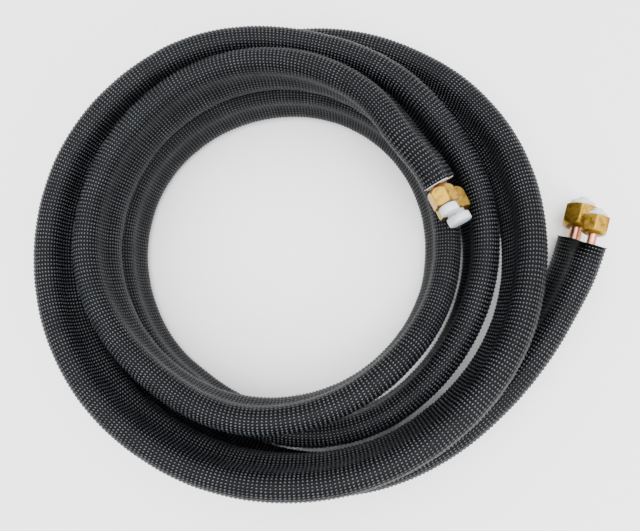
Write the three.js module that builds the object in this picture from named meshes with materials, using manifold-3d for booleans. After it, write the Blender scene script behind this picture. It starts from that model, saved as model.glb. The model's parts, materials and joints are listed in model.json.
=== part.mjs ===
// Insulated twin copper line set: a suction line and a liquid line with their foam sleeves in one
// shared jacket, coiled flat in two levels, with a flare nut and a plug on each of the four tube ends.
// Millimetres, +Z up. The coil lies on z = 0, and the origin is under the middle of its box.
import * as THREE from 'three';
import { mergeVertices } from 'three/addons/utils/BufferGeometryUtils.js';
import Module from 'manifold-3d';

const wasm = await Module();
wasm.setup();

// Tubes and their nuts. Threads are 5/8 inch on the suction line and 7/16 inch on the liquid line.
const suction = {
  tubeDiameter: 9.52, tubeWall: 0.8, flareDiameter: 13.2,
  nutAcrossFlats: 22, nutLength: 18, nutNeck: 14.5, crownLength: 8.6, seatStart: 5, threadBore: 14.4,
};
const liquid = {
  tubeDiameter: 6.35, tubeWall: 0.8, flareDiameter: 9.1,
  nutAcrossFlats: 17, nutLength: 13.8, nutNeck: 10.5, crownLength: 6.4, seatStart: 4, threadBore: 9.9,
};
const chamferAngle = 30;      // of the hexagons' corners in front

// Each end: copper between mouth and nut, how proud the plug stands, and the plug's outer steps, each
// a diameter and a length. The upper plugs are plain heads, the lower ones flanges with a boss.
const upperEnd = {
  suction: { shows: 7.8, proud: 2.4, steps: [[17.4, 6]] },
  liquid: { shows: 3.2, proud: 0.4, steps: [[13.4, 6.2]] },
};
const lowerEnd = {
  suction: { shows: 9, proud: 0.4, steps: [[18.4, 3.4], [7.4, 4]] },
  liquid: { shows: 6.9, proud: 0.4, steps: [[13.4, 2.6], [6.4, 3.4]] },
};

// Insulation
const foamWall = 6;
const jacketWall = 1;
const jacketWaist = 2.2;      // how far the jacket draws in between the two sleeves

// Clearances between pieces that touch
const fit = 0.3;
const turnGap = 0.9;          // between turns side by side
const levelGap = 0.5;         // between turns on top of each other
const spinClearance = 0.6;    // between the corners of two neighbouring nuts
const plugGap = 0.9;          // between a flare and the plug's shank

// The coil
const eyeRadius = 121.6;      // clear radius inside the lower level
const turnStep = 18;          // degrees between sections
const upperMouth = 15;        // where the jacket starts and ends, in degrees round the coil
const lowerMouth = 1439.5;
const slopeStep = 0.5;        // degrees either side, for the direction of the run
const mouthSlant = 0.25;      // how far the liquid side of a mouth lies back along the run, per mm across

// Facets
const ringSides = 8;          // tubes and foam
const arcHalfAngle = 15;      // half the angle of one facet of the jacket
const nutSides = 18;
const crownSteps = 3;         // facets along a nut's round shoulder
const mergeDistance = 1e-5;   // vertices closer than this are one
const overshoot = 1;          // how far a cutter reaches past the face that it cuts

// Radii worked out from the sizes above
function sleeve(line) {
  const tube = line.tubeDiameter / 2;
  const foamBore = tube + fit;
  const foam = foamBore + foamWall;
  return { tube, tubeBore: tube - line.tubeWall, foamBore, foam, jacket: foam + fit + jacketWall };
}
const suctionSleeve = sleeve(suction);
const liquidSleeve = sleeve(liquid);
const tubePitch = suctionSleeve.foam + liquidSleeve.foam + fit;
const bundleHeight = suctionSleeve.jacket + tubePitch + liquidSleeve.jacket;
const cornerRadius = (line) => line.nutAcrossFlats / Math.sqrt(3);
const mouthPitch = Math.max(tubePitch, cornerRadius(suction) + cornerRadius(liquid) + spinClearance);

const innerLane = eyeRadius + suctionSleeve.jacket;
const lanePitch = 2 * suctionSleeve.jacket + turnGap;
const levelPitch = bundleHeight + levelGap;

// The lay of the coil, anticlockwise from the upper end. lane counts bundles outwards from the inner
// lane, level counts bundles up from the floor, and lean tips the liquid line outwards, in degrees.
const lay = [
  // upper inner turn, down to the floor
  { at: 15, lane: 0.15, level: 1.04, lean: -18 },
  { at: 33, lane: -0.12, level: 1.03, lean: -18 },
  { at: 51, lane: 0.04, level: 1.01, lean: -15 },
  { at: 72, lane: 0.1, level: 1, lean: -7 },
  { at: 90, lane: 0.12, level: 1, lean: 1 },
  { at: 120, lane: 0.12, level: 1, lean: 10 },
  { at: 180, lane: 0.08, level: 1, lean: 13 },
  { at: 234, lane: -0.04, level: 1, lean: -2 },
  { at: 270, lane: 0, level: 1, lean: 8 },
  { at: 306, lane: 0.08, level: 0.74, lean: 3 },
  { at: 342, lane: 0.04, level: 0.13, lean: 11 },
  // lower inner turn
  { at: 360, lane: 0, level: 0, lean: 13 },
  { at: 390, lane: 0, level: 0, lean: 7 },
  { at: 450, lane: 0, level: 0, lean: 0 },
  { at: 510, lane: 0.16, level: 0, lean: 0 },
  { at: 570, lane: 0, level: 0, lean: 0 },
  // out to the second lane and up beside the inner turns
  { at: 594, lane: 0, level: 0, lean: 0 },
  { at: 612, lane: 0.16, level: 0, lean: 0 },
  { at: 630, lane: 0.55, level: 0, lean: 0 },
  { at: 648, lane: 0.88, level: 0, lean: 0 },
  { at: 666, lane: 1.08, level: 0, lean: 0 },
  { at: 684, lane: 1.13, level: 0.04, lean: 3 },
  { at: 711, lane: 1.17, level: 0.1, lean: 8 },
  { at: 738, lane: 1.04, level: 0.16, lean: 14 },
  { at: 753, lane: 0.97, level: 0.28, lean: 13 },
  { at: 768, lane: 1.0, level: 0.46, lean: 8 },
  { at: 798, lane: 1.09, level: 0.64, lean: 0 },
  // upper outer turn
  { at: 840, lane: 1.24, level: 0.95, lean: 8 },
  { at: 882, lane: 1.32, level: 1, lean: 20 },
  { at: 918, lane: 1.28, level: 1, lean: 22 },
  { at: 954, lane: 1.28, level: 1, lean: 22 },
  { at: 990, lane: 1.5, level: 1, lean: 20 },
  // out past the second lane, down, and back under the upper outer turn
  { at: 1026, lane: 2, level: 0.84, lean: 14 },
  { at: 1062, lane: 2.26, level: 0.61, lean: 14 },
  { at: 1098, lane: 2.13, level: 0.27, lean: 26 },
  { at: 1116, lane: 2, level: 0.1, lean: 32 },
  { at: 1134, lane: 1.78, level: 0, lean: 38 },
  { at: 1158, lane: 1.51, level: 0, lean: 42 },
  { at: 1188, lane: 1.24, level: 0, lean: 38 },
  // lower outer turn
  { at: 1230, lane: 1.2, level: 0, lean: 24 },
  { at: 1296, lane: 1.12, level: 0, lean: 10 },
  { at: 1332, lane: 1.24, level: 0, lean: 12 },
  // out to the lower end
  { at: 1350, lane: 1.64, level: 0, lean: 17 },
  { at: 1368, lane: 2.03, level: 0, lean: 21 },
  { at: 1386, lane: 2.33, level: 0, lean: 24 },
  { at: 1404, lane: 2.66, level: 0, lean: 24 },
  { at: 1422, lane: 3.22, level: 0.02, lean: 21 },
  { at: 1439.5, lane: 4.02, level: 0.07, lean: 17 },
];

// Slope of one value of the lay at each entry: level where it turns back, smooth where it runs on
function laySlopes(key) {
  const rise = lay.slice(1).map((entry, i) => (entry[key] - lay[i][key]) / (entry.at - lay[i].at));
  return lay.map((entry, i) => {
    if (i === 0) return rise[0];
    if (i === lay.length - 1) return rise[i - 1];
    if (rise[i - 1] * rise[i] <= 0) return 0;
    return (2 * rise[i - 1] * rise[i]) / (rise[i - 1] + rise[i]);
  });
}
const slopes = { lane: laySlopes('lane'), level: laySlopes('level'), lean: laySlopes('lean') };

// One value of the lay at any angle, on a smooth curve through the entries
function layValue(key, angle) {
  let i = lay.findIndex((entry) => angle < entry.at) - 1;
  if (i === -2) i = lay.length - 2;
  i = Math.max(i, 0);
  const span = lay[i + 1].at - lay[i].at;
  const t = (angle - lay[i].at) / span;
  if (t < 0) return lay[i][key] + slopes[key][i] * span * t;
  if (t > 1) return lay[i + 1][key] + slopes[key][i + 1] * span * (t - 1);
  const t2 = t * t;
  const t3 = t2 * t;
  return (2 * t3 - 3 * t2 + 1) * lay[i][key] + (t3 - 2 * t2 + t) * slopes[key][i] * span
    + (3 * t2 - 2 * t3) * lay[i + 1][key] + (t3 - t2) * slopes[key][i + 1] * span;
}

// How far the jacket reaches below the suction line's centre when the bundle leans
function reachDown(lean) {
  const tip = THREE.MathUtils.degToRad(lean);
  return Math.max(...jacketOutline(0).map((point) => -point.y * Math.cos(tip) - point.x * Math.sin(tip)));
}

// Centre of the suction line at an angle round the coil
function suctionCentre(angle) {
  const turn = THREE.MathUtils.degToRad(angle);
  const radius = innerLane + lanePitch * layValue('lane', angle);
  const height = reachDown(layValue('lean', angle)) + levelPitch * layValue('level', angle);
  return new THREE.Vector3(radius * Math.cos(turn), radius * Math.sin(turn), height);
}

// A section of the bundle: its centre, the way it runs, and the two directions across it
function sectionAt(angle, pitch) {
  const centre = suctionCentre(angle);
  const ahead = suctionCentre(angle + slopeStep).sub(suctionCentre(angle - slopeStep)).normalize();
  const outward = ahead.clone().cross(new THREE.Vector3(0, 0, 1)).normalize();
  const upward = outward.clone().cross(ahead);
  const lean = THREE.MathUtils.degToRad(layValue('lean', angle));
  const towardsLiquid = upward.clone().multiplyScalar(Math.cos(lean)).addScaledVector(outward, Math.sin(lean));
  const inward = upward.multiplyScalar(Math.sin(lean)).addScaledVector(outward, -Math.cos(lean));
  return { centre, ahead, inward, towardsLiquid, across: towardsLiquid, pitch };
}

// A mouth's cut is slanted, and the pair spreads there so that the nuts can turn
function mouthAt(angle) {
  const section = sectionAt(angle, mouthPitch);
  section.across = section.towardsLiquid.clone().addScaledVector(section.ahead, -mouthSlant);
  return section;
}

const sections = [mouthAt(upperMouth)];
for (let angle = upperMouth + turnStep; angle < lowerMouth - turnStep / 2; angle += turnStep) {
  sections.push(sectionAt(angle, tubePitch));
}
sections.push(mouthAt(lowerMouth));
const last = sections.length - 1;

// A curve through given points with one section of an extrusion at each, turned and sized as stated
class LaidCurve extends THREE.Curve {
  constructor(stops) {
    super();
    this.stops = stops;
  }

  getPoint(t, target = new THREE.Vector3()) {
    const place = t * (this.stops.length - 1);
    const i = Math.min(Math.floor(place), this.stops.length - 2);
    return target.lerpVectors(this.stops[i].centre, this.stops[i + 1].centre, place - i);
  }

  getSpacedPoints(divisions) {
    return this.getPoints(divisions);
  }

  computeFrenetFrames() {
    return {
      tangents: this.stops.map((stop) => stop.ahead),
      normals: this.stops.map((stop) => stop.inward.clone().multiplyScalar(stop.width ?? 1)),
      binormals: this.stops.map((stop) => stop.across.clone().multiplyScalar(stop.height ?? 1)),
    };
  }
}

function sweep(shape, stops) {
  const extrudePath = new LaidCurve(stops);
  return new THREE.ExtrudeGeometry(shape, { steps: stops.length - 1, extrudePath, bevelEnabled: false });
}

// A ring with its corners on both radii, so that rings with one number of sides nest evenly
function ringShape(outer, bore) {
  const corners = (radius) => Array.from({ length: ringSides }, (_, i) => {
    const turn = ((i + 0.5) * 2 * Math.PI) / ringSides;
    return new THREE.Vector2(radius * Math.cos(turn), radius * Math.sin(turn));
  });
  const shape = new THREE.Shape(corners(outer));
  shape.holes.push(new THREE.Path(corners(bore).reverse()));
  return shape;
}

// The jacket's outline round both sleeves, drawn in at the waist, with flats on its sides and bottom
function jacketOutline(inset) {
  const facet = THREE.MathUtils.degToRad(2 * arcHalfAngle);
  const spread = 1 / Math.cos(facet / 2);
  const arc = (radius, middle, start, count) => Array.from({ length: count }, (_, i) => {
    const turn = start + i * facet;
    return new THREE.Vector2(radius * spread * Math.cos(turn), middle + radius * spread * Math.sin(turn));
  });
  const count = Math.round(Math.PI / facet) + 2;
  const waistX = (suctionSleeve.jacket + liquidSleeve.jacket) / 2 - jacketWaist - inset;
  const waistY = (suctionSleeve.foam + tubePitch - liquidSleeve.foam) / 2;
  return [
    ...arc(suctionSleeve.jacket - inset, 0, -Math.PI - facet / 2, count),
    new THREE.Vector2(waistX, waistY),
    ...arc(liquidSleeve.jacket - inset, tubePitch, -facet / 2, count),
    new THREE.Vector2(-waistX, waistY),
  ];
}

function jacketShape() {
  const shape = new THREE.Shape(jacketOutline(0));
  shape.holes.push(new THREE.Path(jacketOutline(jacketWall).reverse()));
  return shape;
}

// Stops for a piece that keeps to one line: share 0 follows the suction line, share 1 the liquid line
function lineStops(share) {
  return sections.map((section) => ({
    ...section,
    centre: section.centre.clone().addScaledVector(section.across, share * section.pitch),
  }));
}

// The tube's bare end: straight out of the mouth to the flare, which opens at 45 degrees
function flaredEnd(line, mouth, shows, direction) {
  const radius = line.tubeDiameter / 2;
  const flareStart = shows + line.seatStart + fit / 2;
  const flareRise = line.flareDiameter / 2 - radius;
  const stop = (distance, scale) => ({
    ...mouth,
    centre: mouth.centre.clone().addScaledVector(mouth.ahead, direction * distance),
    across: mouth.towardsLiquid,
    width: scale,
    height: scale,
  });
  return [stop(flareStart, 1), stop(flareStart + flareRise, line.flareDiameter / line.tubeDiameter)];
}

function tubeStops(line, share, upperShows, lowerShows) {
  const stops = lineStops(share);
  const upperFlare = flaredEnd(line, stops[0], upperShows, -1).reverse();
  const lowerFlare = flaredEnd(line, stops[last], lowerShows, 1);
  return [...upperFlare, ...stops, ...lowerFlare];
}

function toManifold(geometry) {
  const plain = geometry.clone();
  plain.deleteAttribute('normal');
  plain.deleteAttribute('uv');
  const merged = mergeVertices(plain, mergeDistance);
  const vertProperties = new Float32Array(merged.attributes.position.array);
  const triVerts = new Uint32Array(merged.index.array);
  return new wasm.Manifold(new wasm.Mesh({ numProp: 3, vertProperties, triVerts }));
}

function fromManifold(solid) {
  const mesh = solid.getMesh();
  const geometry = new THREE.BufferGeometry();
  geometry.setAttribute('position', new THREE.BufferAttribute(new Float32Array(mesh.vertProperties), 3));
  geometry.setIndex(new THREE.BufferAttribute(new Uint32Array(mesh.triVerts), 1));
  geometry.computeVertexNormals();
  return geometry;
}

// A turned solid with its axis on +Z, from [radius, height] pairs
function turned(profile, sides = nutSides) {
  const lathe = new THREE.LatheGeometry(profile.map(([r, z]) => new THREE.Vector2(r, z)), sides);
  return lathe.rotateX(Math.PI / 2);
}

// Flare nut with its rear face at z = 0: a hexagon turned to a round shoulder, with a stepped bore
function nutGeometry(line) {
  const corner = cornerRadius(line);
  const flat = line.nutAcrossFlats / 2;
  const neck = line.nutNeck / 2;
  const rim = corner + fit;
  const chamfer = (rim - flat) * Math.tan(THREE.MathUtils.degToRad(chamferAngle));
  const hexagon = new THREE.CylinderGeometry(corner, corner, line.nutLength, 6);
  hexagon.rotateX(Math.PI / 2).rotateZ(Math.PI / 2).translate(0, 0, line.nutLength / 2);
  const crown = Array.from({ length: crownSteps + 1 }, (_, i) => {
    const turn = (i / crownSteps) * (Math.PI / 2);
    return [neck + (rim - neck) * Math.sin(turn), line.crownLength * (1 - Math.cos(turn))];
  });
  const outside = turned([
    [0, 0],
    ...crown,
    [rim, line.nutLength - chamfer],
    [flat, line.nutLength],
    [0, line.nutLength],
  ]);
  const tubeBore = line.tubeDiameter / 2 + fit;
  const threadBore = line.threadBore / 2;
  const through = turned([
    [0, -overshoot],
    [tubeBore, -overshoot],
    [tubeBore, line.seatStart],
    [threadBore, line.seatStart + threadBore - tubeBore],
    [threadBore, line.nutLength + overshoot],
    [0, line.nutLength + overshoot],
  ]);
  return fromManifold(toManifold(hexagon).intersect(toManifold(outside)).subtract(toManifold(through)));
}

// Plug in the nut's mouth: a shank in the thread, and its outer steps in front of the nut
function plugGeometry(line, { proud, steps }) {
  const shank = line.threadBore / 2 - fit;
  const shankStart = line.seatStart + (line.flareDiameter - line.tubeDiameter) / 2 + plugGap;
  const profile = [[0, shankStart], [shank, shankStart]];
  let height = line.nutLength + proud;
  profile.push([shank, height]);
  for (const [diameter, length] of steps) {
    profile.push([diameter / 2, height], [diameter / 2, height + length]);
    height += length;
  }
  return turned([...profile, [0, height]]);
}

// Turns a piece that stands on +Z onto a tube end, with its base at the nut's rear face
function placeOnTube(mesh, mouth, shows, direction) {
  const away = mouth.ahead.clone().multiplyScalar(direction);
  const basis = new THREE.Matrix4().makeBasis(mouth.inward, away.clone().cross(mouth.inward), away);
  mesh.quaternion.setFromRotationMatrix(basis);
  mesh.position.copy(mouth.centre).addScaledVector(away, shows);
}

function named(name, geometry, color, roughness, metalness) {
  const mesh = new THREE.Mesh(geometry, new THREE.MeshStandardMaterial({ color, roughness, metalness }));
  mesh.name = name;
  return mesh;
}
const jacketFinish = [0x2b3034, 0.55, 0];
const foamFinish = [0xf1ece6, 0.9, 0];
const copperFinish = [0xd98f6c, 0.35, 1];
const brassFinish = [0xb88f3e, 0.3, 1];
const plugFinish = [0xf4f6f6, 0.45, 0];

const coil = new THREE.Group();

const jacketStops = sections.map((section) => ({ ...section, height: section.pitch / tubePitch }));
coil.add(named('outer_jacket', sweep(jacketShape(), jacketStops), ...jacketFinish));

const lines = [
  { name: 'suction', line: suction, radii: suctionSleeve, share: 0 },
  { name: 'liquid', line: liquid, radii: liquidSleeve, share: 1 },
];
const ends = [
  { name: 'upper', end: upperEnd, section: 0, direction: -1 },
  { name: 'lower', end: lowerEnd, section: last, direction: 1 },
];

for (const { name, line, radii, share } of lines) {
  const foamRing = ringShape(radii.foam, radii.foamBore);
  coil.add(named(`${name}_foam`, sweep(foamRing, lineStops(share)), ...foamFinish));

  const tubeRing = ringShape(radii.tube, radii.tubeBore);
  const stops = tubeStops(line, share, upperEnd[name].shows, lowerEnd[name].shows);
  coil.add(named(`${name}_tube`, sweep(tubeRing, stops), ...copperFinish));

  for (const { name: endName, end, section, direction } of ends) {
    const mouth = lineStops(share)[section];
    const nut = named(`${endName}_${name}_flare_nut`, nutGeometry(line), ...brassFinish);
    const plug = named(`${endName}_${name}_plug`, plugGeometry(line, end[name]), ...plugFinish);
    for (const piece of [nut, plug]) {
      placeOnTube(piece, mouth, end[name].shows, direction);
      coil.add(piece);
    }
  }
}

// The origin goes under the middle of the whole object's box
coil.updateMatrixWorld(true);
const box = new THREE.Box3().setFromObject(coil, true);
const middle = box.getCenter(new THREE.Vector3());
coil.position.set(-middle.x, -middle.y, -box.min.z);

export default coil;
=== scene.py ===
import json
from math import ceil, cos, pi, radians, sin, sqrt

import bmesh
import bpy
from mathutils import Matrix, Vector, noise


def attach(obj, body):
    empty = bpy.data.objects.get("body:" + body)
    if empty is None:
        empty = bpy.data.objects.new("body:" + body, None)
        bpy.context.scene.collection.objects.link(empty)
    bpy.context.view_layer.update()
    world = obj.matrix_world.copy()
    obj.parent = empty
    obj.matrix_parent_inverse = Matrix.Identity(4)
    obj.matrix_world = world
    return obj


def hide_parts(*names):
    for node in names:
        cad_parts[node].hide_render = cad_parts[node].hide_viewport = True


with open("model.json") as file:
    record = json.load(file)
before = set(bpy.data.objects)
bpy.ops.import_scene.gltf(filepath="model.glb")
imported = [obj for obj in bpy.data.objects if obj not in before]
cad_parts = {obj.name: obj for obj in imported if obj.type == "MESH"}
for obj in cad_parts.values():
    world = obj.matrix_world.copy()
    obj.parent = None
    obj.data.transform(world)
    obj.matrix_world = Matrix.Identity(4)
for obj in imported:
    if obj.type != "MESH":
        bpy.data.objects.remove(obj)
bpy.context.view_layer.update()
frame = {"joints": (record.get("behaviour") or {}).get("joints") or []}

mm = 0.001

# the two lines, in mm
suction = {
    "name": "suction", "share": 0, "tube": 9.52, "flare": 13.2, "seatStart": 5,
    "acrossFlats": 22, "nutLength": 18, "neck": 14.5, "crown": 8.6, "thread": 14.4,
}
liquid = {
    "name": "liquid", "share": 1, "tube": 6.35, "flare": 9.1, "seatStart": 4,
    "acrossFlats": 17, "nutLength": 13.8, "neck": 10.5, "crown": 6.4, "thread": 9.9,
}
bundle = {
    "tubeWall": 0.8,
    "foamWall": 6,
    "jacketWall": 1,
    "fit": 0.3,
    "turnGap": 0.9,
    "levelGap": 0.5,
    "spinClearance": 0.6,
    "eyeRadius": 121.6,
    "mouthRun": 18,        # degrees over which the pair spreads apart before each mouth
    "mouthSlant": 0.25,    # how far the liquid side of a mouth lies back along the run, per mm across
    "plugGap": 0.9,
    "facet": 15,           # half a facet of the solid jacket that this one lies in
    "slopeStep": 0.5,
    "wallStep": 5,         # degrees between rows of the parts under the jacket
}
# each end: copper that shows, how proud the plug stands, the plug's outer steps (diameter, length),
# and how far the foam stands out of the jacket
upperEnd = {
    "suction": {"shows": 7.8, "proud": 2.4, "steps": [(17.4, 6)]},
    "liquid": {"shows": 3.2, "proud": 0.4, "steps": [(13.4, 6.2)]},
    "foamOut": 0.5,
}
lowerEnd = {
    "suction": {"shows": 9, "proud": 0.4, "steps": [(18.4, 3.4), (7.4, 4)]},
    "liquid": {"shows": 6.9, "proud": 0.4, "steps": [(13.4, 2.6), (6.4, 3.4)]},
    "foamOut": -2.2,
}

# how the bundle lies: angle round the coil, lane outwards, level upwards, lean of the liquid line
lay = [
    (15, 0.15, 1.04, -18), (33, -0.12, 1.03, -18), (51, 0.04, 1.01, -15), (72, 0.1, 1, -7),
    (90, 0.12, 1, 1), (120, 0.12, 1, 10), (180, 0.08, 1, 13), (234, -0.04, 1, -2), (270, 0, 1, 8),
    (306, 0.08, 0.74, 3), (342, 0.04, 0.13, 11), (360, 0, 0, 13), (390, 0, 0, 7), (450, 0, 0, 0),
    (510, 0.16, 0, 0), (570, 0, 0, 0), (594, 0, 0, 0), (612, 0.16, 0, 0), (630, 0.55, 0, 0),
    (648, 0.88, 0, 0), (666, 1.08, 0, 0), (684, 1.13, 0.04, 3), (711, 1.17, 0.1, 8),
    (738, 1.04, 0.16, 14), (753, 0.97, 0.28, 13), (768, 1.0, 0.46, 8), (798, 1.09, 0.64, 0),
    (840, 1.24, 0.95, 8), (882, 1.32, 1, 20), (918, 1.28, 1, 22), (954, 1.28, 1, 22), (990, 1.5, 1, 20),
    (1026, 2, 0.84, 14), (1062, 2.26, 0.61, 14), (1098, 2.13, 0.27, 26), (1116, 2, 0.1, 32),
    (1134, 1.78, 0, 38), (1158, 1.51, 0, 42), (1188, 1.24, 0, 38), (1230, 1.2, 0, 24),
    (1296, 1.12, 0, 10), (1332, 1.24, 0, 12), (1350, 1.64, 0, 17), (1368, 2.03, 0, 21),
    (1386, 2.33, 0, 24), (1404, 2.66, 0, 24), (1422, 3.22, 0.02, 21), (1439.5, 4.02, 0.07, 17),
]
upperMouth, lowerMouth = lay[0][0], lay[-1][0]


def sleeveRadii(line):
    tube = line["tube"] / 2
    foamBore = tube + bundle["fit"]
    foam = foamBore + bundle["foamWall"]
    return {
        "tube": tube, "tubeBore": tube - bundle["tubeWall"], "foamBore": foamBore, "foam": foam,
        "jacket": foam + bundle["fit"] + bundle["jacketWall"],
    }


suctionRadii, liquidRadii = sleeveRadii(suction), sleeveRadii(liquid)
tubePitch = suctionRadii["foam"] + liquidRadii["foam"] + bundle["fit"]
bundleHeight = suctionRadii["jacket"] + tubePitch + liquidRadii["jacket"]
nutCorners = (suction["acrossFlats"] + liquid["acrossFlats"]) / sqrt(3)
mouthPitch = max(tubePitch, nutCorners + bundle["spinClearance"])
innerLane = bundle["eyeRadius"] + suctionRadii["jacket"]
lanePitch = 2 * suctionRadii["jacket"] + bundle["turnGap"]
levelPitch = bundleHeight + bundle["levelGap"]


# slope of the lay at each entry: level where it turns back, smooth where it runs on
def laySlopes(column):
    rise = [(b[column] - a[column]) / (b[0] - a[0]) for a, b in zip(lay, lay[1:])]
    slopes = [rise[0]]
    for before, after in zip(rise, rise[1:]):
        slopes.append(0 if before * after <= 0 else 2 * before * after / (before + after))
    return slopes + [rise[-1]]


slopes = {column: laySlopes(column) for column in (1, 2, 3)}


def layValue(column, angle):
    i = max(k for k, entry in enumerate(lay[:-1]) if entry[0] <= angle or k == 0)
    span = lay[i + 1][0] - lay[i][0]
    t = (angle - lay[i][0]) / span
    start, end = lay[i][column], lay[i + 1][column]
    startSlope, endSlope = slopes[column][i] * span, slopes[column][i + 1] * span
    if t < 0:
        return start + startSlope * t
    if t > 1:
        return end + endSlope * (t - 1)
    return ((2 * t**3 - 3 * t**2 + 1) * start + (t**3 - 2 * t**2 + t) * startSlope
            + (3 * t**2 - 2 * t**3) * end + (t**3 - t**2) * endSlope)


def reachDown(lean):
    half = bundle["facet"]
    offFacet = abs((lean + half) % (2 * half) - half)
    return suctionRadii["jacket"] * cos(radians(half - offFacet)) / cos(radians(half))


def suctionCentre(angle):
    turn = radians(angle)
    radius = innerLane + lanePitch * layValue(1, angle)
    height = reachDown(layValue(3, angle)) + levelPitch * layValue(2, angle)
    return Vector((radius * cos(turn), radius * sin(turn), height))


def smoothstep(t):
    t = min(max(t, 0), 1)
    return t * t * (3 - 2 * t)


# a section of the bundle: where it is, which way it runs, and the two directions across it
def sectionAt(angle):
    step = bundle["slopeStep"]
    ahead = (suctionCentre(angle + step) - suctionCentre(angle - step)).normalized()
    outward = ahead.cross(Vector((0, 0, 1))).normalized()
    upward = outward.cross(ahead)
    lean = radians(layValue(3, angle))
    toMouth = min(angle - upperMouth, lowerMouth - angle) / bundle["mouthRun"]
    towardsLiquid = upward * cos(lean) + outward * sin(lean)
    return {
        "centre": suctionCentre(angle),
        "ahead": ahead,
        "towardsLiquid": towardsLiquid,
        "across": towardsLiquid - ahead * (bundle["mouthSlant"] * (1 - min(max(toMouth, 0), 1))),
        "inward": upward * sin(lean) - outward * cos(lean),
        "pitch": mouthPitch + (tubePitch - mouthPitch) * smoothstep(toMouth),
    }


mouths = {
    "upper": {"section": sectionAt(upperMouth), "out": -1, **upperEnd},
    "lower": {"section": sectionAt(lowerMouth), "out": 1, **lowerEnd},
}


def lineCentre(section, line):
    return section["centre"] + section["across"] * (line["share"] * section["pitch"])


# the coil's own centre in the frame, from a nut whose place is known both ways
def coilOffset():
    spin = next(joint for joint in frame["joints"] if joint["name"].startswith("lower_suction"))
    mouth = mouths["lower"]
    rear = lineCentre(mouth["section"], suction) + mouth["section"]["ahead"] * mouth["suction"]["shows"]
    return Vector(spin["pos_m"]) / mm - rear


offset = coilOffset()
print("coil centre at", [round(value, 3) for value in offset], "mm")


def inFrame(point):
    return (point + offset) * mm


# helpers for pieces

def addPiece(name, bm, material, body, slot, *replaced):
    mesh = bpy.data.meshes.new(name)
    bm.to_mesh(mesh)
    bm.free()
    piece = bpy.data.objects.new(name, mesh)
    bpy.context.scene.collection.objects.link(piece)
    mesh.materials.append(material)
    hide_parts(*replaced)
    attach(piece, body)
    return piece


# a shell closed both ways round, from a grid whose rows and columns are put where place says
def sweptShell(rows, columns, place, uvOf=None):
    bm = bmesh.new()
    bmesh.ops.create_grid(bm, x_segments=columns, y_segments=len(rows), size=0.5)
    cells = {}
    for vert in bm.verts:
        column = round((vert.co.x + 0.5) * columns)
        row = round((vert.co.y + 0.5) * len(rows))
        cells[vert] = (column, row)
        vert.co = place(rows[row % len(rows)], column % columns)
    uv = bm.loops.layers.uv.new("skin")
    for face in bm.faces:
        face.smooth = True
        for loop in face.loops:
            column, row = cells[loop.vert]
            loop[uv].uv = uvOf(rows[row % len(rows)], column) if uvOf else (row, column)
    bmesh.ops.remove_doubles(bm, verts=bm.verts, dist=1e-7)
    if bm.calc_volume(signed=True) < 0:
        bmesh.ops.reverse_faces(bm, faces=bm.faces)
    return bm


# helpers for materials

def newMaterial(name):
    material = bpy.data.materials.new(name)
    material.use_nodes = True
    tree = material.node_tree
    return material, tree, tree.nodes["Principled BSDF"]


def addNode(tree, kind, inputs=None, **settings):
    node = tree.nodes.new(kind)
    for key, value in settings.items():
        setattr(node, key, value)
    for key, value in (inputs or {}).items():
        if isinstance(value, bpy.types.NodeSocket):
            tree.links.new(value, node.inputs[key])
        else:
            node.inputs[key].default_value = value
    return node


def calculate(tree, operation, *values):
    return addNode(tree, "ShaderNodeMath", dict(enumerate(values)), operation=operation).outputs[0]


def fade(tree, value, start, end):
    inputs = {"Value": value, "From Min": start, "From Max": end}
    return addNode(tree, "ShaderNodeMapRange", inputs, interpolation_type="SMOOTHSTEP").outputs["Result"]


def noiseOf(tree, vector, scale, detail=3):
    inputs = {"Vector": vector, "Scale": scale, "Detail": detail}
    return addNode(tree, "ShaderNodeTexNoise", inputs).outputs["Fac"]


def objectPlace(tree, scale=(1, 1, 1)):
    place = addNode(tree, "ShaderNodeTexCoord").outputs["Object"]
    return addNode(tree, "ShaderNodeMapping", {"Vector": place, "Scale": scale}).outputs["Vector"]


def mixColour(tree, share, first, second):
    node = addNode(tree, "ShaderNodeMix", data_type="RGBA")
    for socket, value in ((node.inputs[0], share), (node.inputs[6], first), (node.inputs[7], second)):
        if isinstance(value, bpy.types.NodeSocket):
            tree.links.new(value, socket)
        else:
            socket.default_value = value if isinstance(value, float) else (*value, 1)
    return node.outputs[2]


def connect(tree, shader, **sockets):
    for name, value in sockets.items():
        tree.links.new(value, shader.inputs[name.replace("_", " ")])


def bumpOf(tree, height, depth):
    inputs = {"Height": height, "Distance": depth * mm, "Strength": 1.0}
    return addNode(tree, "ShaderNodeBump", inputs).outputs["Normal"]


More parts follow.
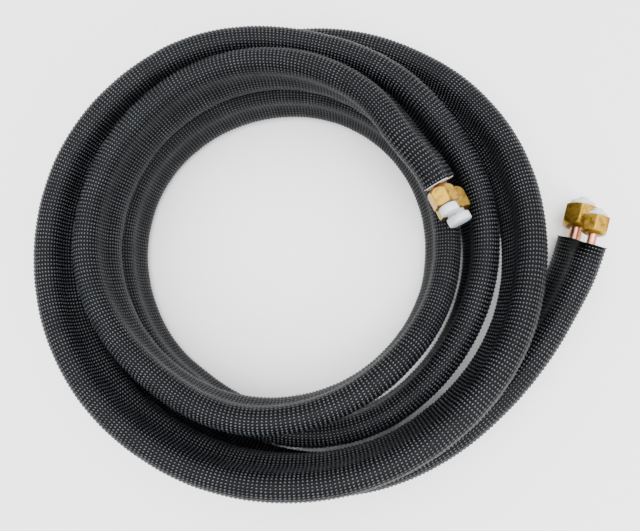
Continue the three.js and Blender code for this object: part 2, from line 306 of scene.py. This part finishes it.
# jacket: one black embossed sleeve round both insulated tubes
jacket = {
    "columns": 32,         # round the section
    "ribPitch": 3.0,
    "ribDepth": 0.8,
    "beads": 52,           # round each rib
    "waist": 2.2,          # how far the skin draws in between the two sleeves
    "waistStart": 21,      # degrees past the widest point where it starts to draw in
    "wave": 0.3,           # unevenness of the skin
    "waveLength": 26,
    "drift": 0.8,          # how far the ribs wander
    "driftScale": 0.7,     # of the unevenness that makes them wander, against that of the skin
    "settleRows": 6,       # rows next to a mouth where they settle
    "waistPull": 0.4,      # how far the curve's handles reach, as a share of its length
    "outlineSteps": 60,    # points on each stretch of the outline
    "runSteps": 2800,      # points along the run when its length is measured
    "mouthSeed": {"upper": 5, "lower": 14},
    "mouthScale": 1.3,
    "mouthInset": 0.2,
    "mouthWave": {"upper": 0.4, "lower": 1.6},
    "lip": {"upper": 0.1, "lower": 1.0},
    # painted shade: the grooves between the beads are drawn darker than the beads
    "grooveShade": (0.0006, 0.0007, 0.0009),
    "ridge": (0.005, 0.0065, 0.0083),
    # painted highlight: the light grey glint painted on each bead's top
    "tip": (0.11, 0.118, 0.13),
    "sheen": 0.1,          # share of the usual reflection
    "beadHeight": 0.5,
    "beadEdge": (0.46, 0.12),      # from the groove to a bead, in cells
    "glintEdge": (0.28, 0.1),
    "glintVariation": (1.1, 0.1),            # how strongly noise varies the painted highlight on the bead tips, and the least of it
    "roughness": (0.25, 0.32),
}


def bezier(a, b, c, d, t):
    return a * (1 - t)**3 + b * 3 * t * (1 - t)**2 + c * 3 * t * t * (1 - t) + d * t**3


def onCircle(radius, height, turn):
    return Vector((radius * cos(turn), height + radius * sin(turn)))


# the smooth outline of the section, as evenly spaced points with their outward directions
def jacketOutline():
    big, small = suctionRadii["jacket"], liquidRadii["jacket"]
    past = radians(jacket["waistStart"])
    waist = Vector(((big + small) / 2 - jacket["waist"],
                    (suctionRadii["foam"] + tubePitch - liquidRadii["foam"]) / 2))
    below, above = onCircle(big, 0, past), onCircle(small, tubePitch, -past)
    pull = (waist - below).length * jacket["waistPull"]
    up, lean = Vector((0, pull)), Vector((-sin(past), cos(past))) * pull
    steps = jacket["outlineSteps"]
    side = [onCircle(big, 0, -pi / 2 + (pi / 2 + past) * k / steps) for k in range(steps)]
    side += [bezier(below, below + lean, waist - up, waist, k / steps) for k in range(steps)]
    lean.x = -lean.x
    side += [bezier(waist, waist + up, above - lean, above, k / steps) for k in range(steps)]
    side += [onCircle(small, tubePitch, -past + (pi / 2 + past) * k / steps) for k in range(steps + 1)]
    whole = side + [Vector((-point.x, point.y)) for point in reversed(side[1:-1])]
    lengths = [0]
    for a, b in zip(whole, whole[1:] + whole[:1]):
        lengths.append(lengths[-1] + (b - a).length)
    outline = []
    for column in range(jacket["columns"]):
        goal = lengths[-1] * column / jacket["columns"]
        k = max(i for i, length in enumerate(lengths[:-1]) if length <= goal)
        after = whole[(k + 1) % len(whole)]
        run = (after - whole[k]).normalized()
        share = (goal - lengths[k]) / (lengths[k + 1] - lengths[k])
        outline.append((whole[k].lerp(after, share), Vector((run.y, -run.x))))
    return outline


# angles round the coil at equal steps of the bundle's own length
def evenAngles(pitch):
    count = jacket["runSteps"]
    angles = [upperMouth + (lowerMouth - upperMouth) * k / count for k in range(count + 1)]
    lengths, before = [0], None
    for angle in angles:
        section = sectionAt(angle)
        here = section["centre"] + section["towardsLiquid"] * (section["pitch"] / 2)
        if before:
            lengths.append(lengths[-1] + (here - before).length)
        before = here
    steps = round(lengths[-1] / pitch)
    found, k = [], 0
    for step in range(steps + 1):
        goal = lengths[-1] * step / steps
        while k < count - 1 and lengths[k + 1] < goal:
            k += 1
        share = (goal - lengths[k]) / (lengths[k + 1] - lengths[k])
        found.append(angles[k] + (angles[k + 1] - angles[k]) * share)
    print("bundle runs for", round(lengths[-1]), "mm in", len(found), "rows")
    return found


def wallAngles():
    count = ceil((lowerMouth - upperMouth) / bundle["wallStep"])
    return [upperMouth + (lowerMouth - upperMouth) * k / count for k in range(count + 1)]


def makeJacket(material):
    outline = jacketOutline()
    columns = range(len(outline))
    turns = [Vector((cos(2 * pi * k / len(outline)), sin(2 * pi * k / len(outline)))) for k in columns]
    angles = evenAngles(jacket["ribPitch"] / 2)
    last = len(angles) - 1
    rows = [{"skin": True, "angle": angle, "index": index} for index, angle in enumerate(angles)]
    rows += [{"skin": False, "angle": angle, "index": 0} for angle in reversed(wallAngles())]
    for row in rows:
        row["section"] = sectionAt(row["angle"])
        row["end"] = {upperMouth: "upper", lowerMouth: "lower"}.get(round(row["angle"], 6))

    def place(row, column):
        point, out = outline[column]
        turn, section = turns[column], row["section"]
        slide = 0
        if row["skin"]:
            seed = Vector((turn.x, turn.y, radians(row["angle"]) * innerLane * 2 / jacket["waveLength"]))
            valley = jacket["ribDepth"] if row["index"] % 2 == 0 else 0
            rise = -valley - jacket["wave"] * (0.5 + 0.5 * noise.noise(seed))
            settle = smoothstep(min(row["index"], last - row["index"]) / jacket["settleRows"])
            driftSeed = seed * jacket["driftScale"] + Vector((7, 3, 1))
            slide = jacket["drift"] * settle * noise.noise(driftSeed)
        else:
            rise = -bundle["jacketWall"]
        if row["end"]:
            end = row["end"]
            base = Vector((turn.x, turn.y, jacket["mouthSeed"][end]))
            wander = noise.noise(base * jacket["mouthScale"])
            slide = jacket["mouthWave"][end] * wander * mouths[end]["out"]
            lift = jacket["lip"][end] * (0.5 + noise.noise(base + Vector((0, 0, 15))))
            rise = lift - (jacket["mouthInset"] if row["skin"] else bundle["jacketWall"])
        spread = section["pitch"] / tubePitch
        across = section["inward"] * (point.x + out.x * rise)
        along = section["across"] * ((point.y + out.y * rise) * spread)
        return inFrame(section["centre"] + across + along + section["ahead"] * slide)

    def uvOf(row, column):
        return (row["index"] + 1) / 2, jacket["beads"] * column / len(outline)

    bm = sweptShell(rows, len(outline), place, uvOf)
    print("jacket:", 2 * len(bm.faces), "triangles")
    return addPiece("embossed_jacket", bm, material, "coil", "jacket", "outer_jacket")


def jacketMaterial():
    material, tree, shader = newMaterial("embossed black jacket")
    skin = addNode(tree, "ShaderNodeUVMap", uv_map="skin").outputs["UV"]
    place = objectPlace(tree)
    cell = addNode(tree, "ShaderNodeTexVoronoi", {"Vector": skin, "Scale": 1.0, "Randomness": 0.1},
                   voronoi_dimensions="2D").outputs["Distance"]
    bead = fade(tree, cell, *jacket["beadEdge"])
    # painted highlight on each bead's top, its strength varied by noise
    glintPatches = calculate(tree, "MULTIPLY_ADD", noiseOf(tree, place, 60), *jacket["glintVariation"])
    tip = calculate(tree, "MULTIPLY", fade(tree, cell, *jacket["glintEdge"]), glintPatches)
    # painted shade in the grooves between the beads
    grooveShadedSkin = mixColour(tree, bead, jacket["grooveShade"], jacket["ridge"])
    colour = mixColour(tree, tip, grooveShadedSkin, jacket["tip"])
    rough = calculate(tree, "MULTIPLY_ADD", noiseOf(tree, place, 900, 2), *jacket["roughness"])
    bump = bumpOf(tree, bead, jacket["beadHeight"])
    connect(tree, shader, Base_Color=colour, Roughness=rough, Normal=bump)
    shader.inputs["Specular IOR Level"].default_value = jacket["sheen"]
    return material


makeJacket(jacketMaterial())

# foam: a white closed-cell sleeve on each tube
foam = {
    "sides": 28,
    "rounding": 0.5,
    "cutWave": 0.35,
    "colour": (0.7, 0.64, 0.59),
    "shadow": (0.5, 0.43, 0.38),
    "cellDepth": 0.25,
    "roughness": 0.9,
}
# copper: a drawn tube in each sleeve, opened to a flare inside each nut
copper = {
    "sides": 24,
    "light": (0.62, 0.30, 0.20),
    "dark": (0.42, 0.17, 0.10),
    "drawnLines": 0.02,
    "roughness": (0.2, 0.2),
}


def ringRow(section, line, radius, slide=0, turnWave=0, across="towardsLiquid"):
    return {
        "centre": lineCentre(section, line) + section["ahead"] * slide,
        "radius": radius,
        "inward": section["inward"],
        "across": section[across],
        "ahead": section["ahead"],
        "wave": turnWave,
    }


def sweptRing(rows, sides):
    def place(row, column):
        turn = 2 * pi * (column + 0.5) / sides
        across = row["inward"] * cos(turn) + row["across"] * sin(turn)
        seed = Vector((cos(turn) * 1.5, sin(turn) * 1.5, row["radius"]))
        slide = row["ahead"] * (row["wave"] * noise.noise(seed))
        return inFrame(row["centre"] + across * row["radius"] + slide)

    return sweptShell(rows, sides, place)


def makeFoam(line, radii, material):
    sections = [sectionAt(angle) for angle in wallAngles()]
    first, last = sections[0], sections[-1]
    upperOut, lowerOut = -upperEnd["foamOut"], lowerEnd["foamOut"]
    edge, wave = foam["rounding"], foam["cutWave"]

    def ring(section, radius, slide=0, turnWave=0):
        return ringRow(section, line, radius, slide, turnWave, "across")

    rows = [ring(first, radii["foam"] - edge, upperOut, wave)]
    rows += [ring(first, radii["foam"], upperOut + edge)]
    rows += [ring(section, radii["foam"]) for section in sections[1:-1]]
    rows += [ring(last, radii["foam"], lowerOut - edge)]
    rows += [ring(last, radii["foam"] - edge, lowerOut, wave)]
    rows += [ring(last, radii["foamBore"], lowerOut)]
    rows += [ring(section, radii["foamBore"]) for section in reversed(sections[1:-1])]
    rows.append(ring(first, radii["foamBore"], upperOut))
    bm = sweptRing(rows, foam["sides"])
    name = f"{line['name']}_foam"
    return addPiece(f"{name}_sleeve", bm, material, "coil", "foam", name)


def makeTube(line, radii, material):
    sections = [sectionAt(angle) for angle in wallAngles()]
    flareRise = (line["flare"] - line["tube"]) / 2
    flareStart = line["seatStart"] + bundle["fit"] / 2
    upperFlare = upperEnd[line["name"]]["shows"] + flareStart
    lowerFlare = lowerEnd[line["name"]]["shows"] + flareStart

    def wall(radius, order):
        opened = radius * line["flare"] / line["tube"]
        run = [ringRow(sections[0], line, opened, -upperFlare - flareRise),
               ringRow(sections[0], line, radius, -upperFlare)]
        run += [ringRow(section, line, radius) for section in sections]
        run += [ringRow(sections[-1], line, radius, lowerFlare),
                ringRow(sections[-1], line, opened, lowerFlare + flareRise)]
        return run[::order]

    rows = wall(radii["tube"], 1) + wall(radii["tubeBore"], -1)
    bm = sweptRing(rows, copper["sides"])
    name = line["name"]
    return addPiece(f"{name}_copper_tube", bm, material, "coil", "copper", f"{name}_tube")


def foamMaterial():
    material, tree, shader = newMaterial("white foam")
    place = objectPlace(tree)
    cells = addNode(tree, "ShaderNodeTexVoronoi", {"Vector": place, "Scale": 1400.0}).outputs["Distance"]
    colour = mixColour(tree, noiseOf(tree, place, 500), foam["shadow"], foam["colour"])
    connect(tree, shader, Base_Color=colour, Normal=bumpOf(tree, cells, foam["cellDepth"]))
    shader.inputs["Roughness"].default_value = foam["roughness"]
    return material


def copperMaterial():
    material, tree, shader = newMaterial("drawn copper")
    skin = addNode(tree, "ShaderNodeUVMap", uv_map="skin").outputs["UV"]
    along = addNode(tree, "ShaderNodeMapping", {"Vector": skin, "Scale": (0.3, 6, 1)}).outputs["Vector"]
    lines = noiseOf(tree, along, 1)
    stain = noiseOf(tree, objectPlace(tree), 300)
    colour = mixColour(tree, fade(tree, stain, 0.35, 0.75), copper["light"], copper["dark"])
    rough = calculate(tree, "MULTIPLY_ADD", lines, *copper["roughness"])
    bump = bumpOf(tree, lines, copper["drawnLines"])
    connect(tree, shader, Base_Color=colour, Roughness=rough, Normal=bump)
    shader.inputs["Metallic"].default_value = 1
    return material


foamLook, copperLook = foamMaterial(), copperMaterial()
for line, radii in ((suction, suctionRadii), (liquid, liquidRadii)):
    makeFoam(line, radii, foamLook)
    makeTube(line, radii, copperLook)
print("foam sleeves and copper tubes laid")

# nuts: a hexagon turned down to a round shoulder at the rear and chamfered in front
nut = {
    "sides": 72,
    "edge": 0.25,          # rounding of the hexagon's corners
    "mouthChamfer": 0.6,
    "rearChamfer": 0.3,
    "dome": 10,            # steps round the shoulder
    "past": 0.4,           # how far the turned shape reaches past the hexagon's corners
    "frontChamfer": (0.55, 0.15),  # its length and its inset, as shares of a corner's height over a flat
    "sharp": 25,           # degrees from which an edge is drawn sharp
    "light": (0.46, 0.27, 0.035),
    "dark": (0.16, 0.085, 0.01),
}
# plugs: a threaded shank in the nut, and round steps outside
plug = {
    "sides": 64,
    "edge": 0.5,
    "light": (0.62, 0.65, 0.68),
    "dark": (0.5, 0.53, 0.57),
    "thread": 1.4,
    "threadDepth": 0.45,
    "tip": (0.8, 0.3, 0.5),        # inset at the shank's end, inset behind it, and its length
    "threadStart": 0.8,
    "threadStop": 1,       # behind the nut's front face
    "sharp": 50,
}


# a turned solid round +Z from a closed profile of radius and height, in mm
def turnedSolid(profile, sides):
    bm = bmesh.new()
    verts = [bm.verts.new((radius * mm, 0, height * mm)) for radius, height in profile]
    edges = [bm.edges.new(pair) for pair in zip(verts, verts[1:] + verts[:1])]
    bmesh.ops.spin(bm, geom=verts + edges, axis=(0, 0, 1), cent=(0, 0, 0), angle=2 * pi, steps=sides,
                   use_merge=True)
    bmesh.ops.remove_doubles(bm, verts=bm.verts, dist=1e-7)
    bmesh.ops.dissolve_degenerate(bm, edges=bm.edges, dist=1e-7)
    bmesh.ops.recalc_face_normals(bm, faces=bm.faces)
    return bm


def temporary(bm):
    mesh = bpy.data.meshes.new("temporary")
    bm.to_mesh(mesh)
    bm.free()
    piece = bpy.data.objects.new("temporary", mesh)
    bpy.context.scene.collection.objects.link(piece)
    return piece


def common(first, second):
    a, b = temporary(first), temporary(second)
    cut = a.modifiers.new("common", "BOOLEAN")
    cut.operation, cut.solver, cut.object = "INTERSECT", "EXACT", b
    result = bmesh.new()
    result.from_object(a, bpy.context.evaluated_depsgraph_get())
    for piece in (a, b):
        mesh = piece.data
        bpy.data.objects.remove(piece)
        bpy.data.meshes.remove(mesh)
    return result


def shadeByAngle(bm, limit):
    for face in bm.faces:
        face.smooth = True
    for edge in bm.edges:
        edge.smooth = edge.calc_face_angle(0) < radians(limit)


# turns a piece that stands on +Z onto a tube end, its base at the nut's rear face
def ontoTube(bm, line, end):
    mouth = mouths[end]
    section = mouth["section"]
    away = section["ahead"] * mouth["out"]
    across = section["inward"]
    rear = inFrame(lineCentre(section, line) + away * mouth[line["name"]]["shows"])
    turn = Matrix((across, away.cross(across), away)).transposed()
    bmesh.ops.transform(bm, matrix=Matrix.Translation(rear) @ turn.to_4x4(), verts=bm.verts)


def makeNut(line, end, material):
    flat, corner = line["acrossFlats"] / 2, line["acrossFlats"] / sqrt(3)
    neck, length = line["neck"] / 2, line["nutLength"]
    chamfer = corner - flat
    bore, thread, seat = line["tube"] / 2 + bundle["fit"], line["thread"] / 2, line["seatStart"]
    rim, rear = corner + nut["past"], nut["rearChamfer"]
    depth, inset = (chamfer * share for share in nut["frontChamfer"])
    rise = [k / nut["dome"] * pi / 2 for k in range(nut["dome"] + 1)]
    crown = [(neck + (rim - neck) * sin(turn), line["crown"] * (1 - cos(turn))) for turn in rise]
    profile = [(bore, rear), (bore + rear, 0), (neck - 0.4, 0), *crown[1:]]
    profile += [(rim, length - depth), (flat + inset, length)]
    profile += [(thread + nut["mouthChamfer"], length), (thread, length - nut["mouthChamfer"])]
    profile += [(thread, seat + thread - bore), (bore, seat)]
    body = turnedSolid(profile, nut["sides"])
    hexagon = bmesh.new()
    bmesh.ops.create_cone(hexagon, cap_ends=True, segments=6, radius1=corner * mm, radius2=corner * mm,
                          depth=(length + 2) * mm)        # a millimetre past each end
    bmesh.ops.rotate(hexagon, verts=hexagon.verts, matrix=Matrix.Rotation(pi / 2, 3, "Z"))
    bmesh.ops.translate(hexagon, verts=hexagon.verts, vec=(0, 0, length / 2 * mm))
    upright = [edge for edge in hexagon.edges if abs(edge.verts[0].co.z - edge.verts[1].co.z) > mm]
    bmesh.ops.bevel(hexagon, geom=upright, offset=nut["edge"] * mm, affect="EDGES", segments=2,
                    profile=0.5, material=-1)
    bm = common(body, hexagon)
    shadeByAngle(bm, nut["sharp"])
    name = f"{end}_{line['name']}"
    ontoTube(bm, line, end)
    return addPiece(f"{name}_brass_nut", bm, material, f"{name}_nut", "brass", f"{name}_flare_nut")


def makePlug(line, end, material):
    key, edge = line["name"], plug["edge"]
    shank = line["thread"] / 2 - bundle["fit"]
    start = line["seatStart"] + (line["flare"] - line["tube"]) / 2 + bundle["plugGap"]
    front = line["nutLength"] + mouths[end][key]["proud"]
    tipInset, tipShoulder, tipLength = plug["tip"]
    profile = [(0, start), (shank - tipInset, start), (shank - tipShoulder, start + tipLength)]
    height = start + plug["threadStart"]
    threadEnd = line["nutLength"] - plug["threadStop"]
    while height + plug["thread"] < threadEnd:
        profile += [(shank - plug["threadDepth"], height), (shank, height + plug["thread"] / 2)]
        height += plug["thread"]
    profile += [(shank - plug["threadDepth"], threadEnd), (shank - plug["threadDepth"], front)]
    for diameter, depth in mouths[end][key]["steps"]:
        radius, back, front = diameter / 2, front, front + depth
        profile += [(radius - edge, back), (radius, back + edge)]
        profile += [(radius, front - edge), (radius - edge, front)]
    profile.append((0, front))
    bm = turnedSolid(profile, plug["sides"])
    shadeByAngle(bm, plug["sharp"])
    ontoTube(bm, line, end)
    name = f"{end}_{key}"
    return addPiece(f"{name}_white_plug", bm, material, f"{name}_nut", "white_plastic", f"{name}_plug")


def brassMaterial():
    material, tree, shader = newMaterial("machined brass")
    place = objectPlace(tree)
    marks = noiseOf(tree, objectPlace(tree, (1, 1, 14)), 500, 2)
    colour = mixColour(tree, fade(tree, noiseOf(tree, place, 260), 0.4, 0.8), nut["light"], nut["dark"])
    rough = calculate(tree, "MULTIPLY_ADD", marks, 0.25, 0.22)
    connect(tree, shader, Base_Color=colour, Roughness=rough, Normal=bumpOf(tree, marks, 0.02))
    shader.inputs["Metallic"].default_value = 1
    return material


def plugMaterial():
    material, tree, shader = newMaterial("white plug plastic")
    place = objectPlace(tree)
    grain = noiseOf(tree, place, 1500, 2)
    colour = mixColour(tree, noiseOf(tree, place, 120), plug["light"], plug["dark"])
    rough = calculate(tree, "MULTIPLY_ADD", grain, 0.15, 0.32)
    connect(tree, shader, Base_Color=colour, Roughness=rough, Normal=bumpOf(tree, grain, 0.02))
    shader.inputs["Subsurface Weight"].default_value = 0.25
    shader.inputs["Subsurface Scale"].default_value = 0.002
    return material


brassLook, plugLook = brassMaterial(), plugMaterial()
for end in mouths:
    for line in (suction, liquid):
        makeNut(line, end, brassLook)
        makePlug(line, end, plugLook)
print("nuts and plugs fitted")

# stage
photo = {
    "size": (640, 531),
    "focal": 532,                      # pixels
    "nadir": (410, 360),               # the pixel straight below the camera
    "height": 0.4504,
    "over": (107.2, -94.9),            # the floor point below it, in mm from the coil's own centre
}
studio = {
    "zenith": 4.8,
    "horizon": 0.35,
    "floor": (0.93, 0.93, 0.93),
    "floorSize": 6,
    "fadeFrom": 0.1,       # height on the sky where the horizon starts to brighten
    "overhead": {"place": (0.25, -0.3, 1.3), "size": 0.7, "power": 12},
    "side": {"place": (0.9, -0.9, 0.8), "size": 0.6, "power": 8},
}


def addCamera():
    width, height = photo["size"]
    middle = Vector((width / 2, height / 2))
    down = Vector((*(Vector(photo["nadir"]) - middle), photo["focal"])).normalized()
    right = (Vector((1, 0, 0)) - down * down.x).normalized()
    turn = Matrix((right, right.cross(down), -down))       # from x right, y down, z ahead to the frame
    flip = Matrix(((1, 0, 0), (0, -1, 0), (0, 0, -1)))     # a camera looks along its own -Z, with +Y up
    data = bpy.data.cameras.new("camera")
    data.sensor_width = 36
    data.lens = photo["focal"] / width * data.sensor_width
    data.clip_start = 0.01
    below = inFrame(Vector((*photo["over"], 0))).xy
    camera = bpy.data.objects.new("camera", data)
    camera.matrix_world = Matrix.Translation((*below, photo["height"])) @ (turn @ flip).to_4x4()
    bpy.context.scene.collection.objects.link(camera)
    bpy.context.scene.camera = camera


def addLamp(name, place, size, power):
    data = bpy.data.lights.new(name, "AREA")
    data.size, data.energy = size, power
    lamp = bpy.data.objects.new(name, data)
    lamp.location = place
    lamp.rotation_euler = (-Vector(place)).to_track_quat("-Z", "Y").to_euler()
    bpy.context.scene.collection.objects.link(lamp)


def addFloor():
    bm = bmesh.new()
    bmesh.ops.create_grid(bm, x_segments=1, y_segments=1, size=studio["floorSize"])
    bmesh.ops.translate(bm, verts=bm.verts, vec=(0, 0, -0.0002))
    mesh = bpy.data.meshes.new("floor")
    bm.to_mesh(mesh)
    bm.free()
    floor = bpy.data.objects.new("floor", mesh)
    bpy.context.scene.collection.objects.link(floor)
    material, tree, shader = newMaterial("pale floor")
    shader.inputs["Base Color"].default_value = (*studio["floor"], 1)
    shader.inputs["Roughness"].default_value = 0.8
    mesh.materials.append(material)


def addWorld():
    world = bpy.data.worlds.new("studio")
    world.use_nodes = True
    tree = world.node_tree
    background = tree.nodes["Background"]
    background.inputs["Color"].default_value = (1, 1, 1, 1)
    sky = addNode(tree, "ShaderNodeTexCoord").outputs["Generated"]
    height = addNode(tree, "ShaderNodeSeparateXYZ", {0: sky}).outputs["Z"]
    inputs = {"Value": height, "From Min": studio["fadeFrom"], "From Max": 1.0,
              "To Min": studio["horizon"], "To Max": studio["zenith"]}
    strength = addNode(tree, "ShaderNodeMapRange", inputs).outputs["Result"]
    tree.links.new(strength, background.inputs["Strength"])
    bpy.context.scene.world = world


addCamera()
addLamp("overhead", **studio["overhead"])
addLamp("side", **studio["side"])
addFloor()
addWorld()
print("stage set")
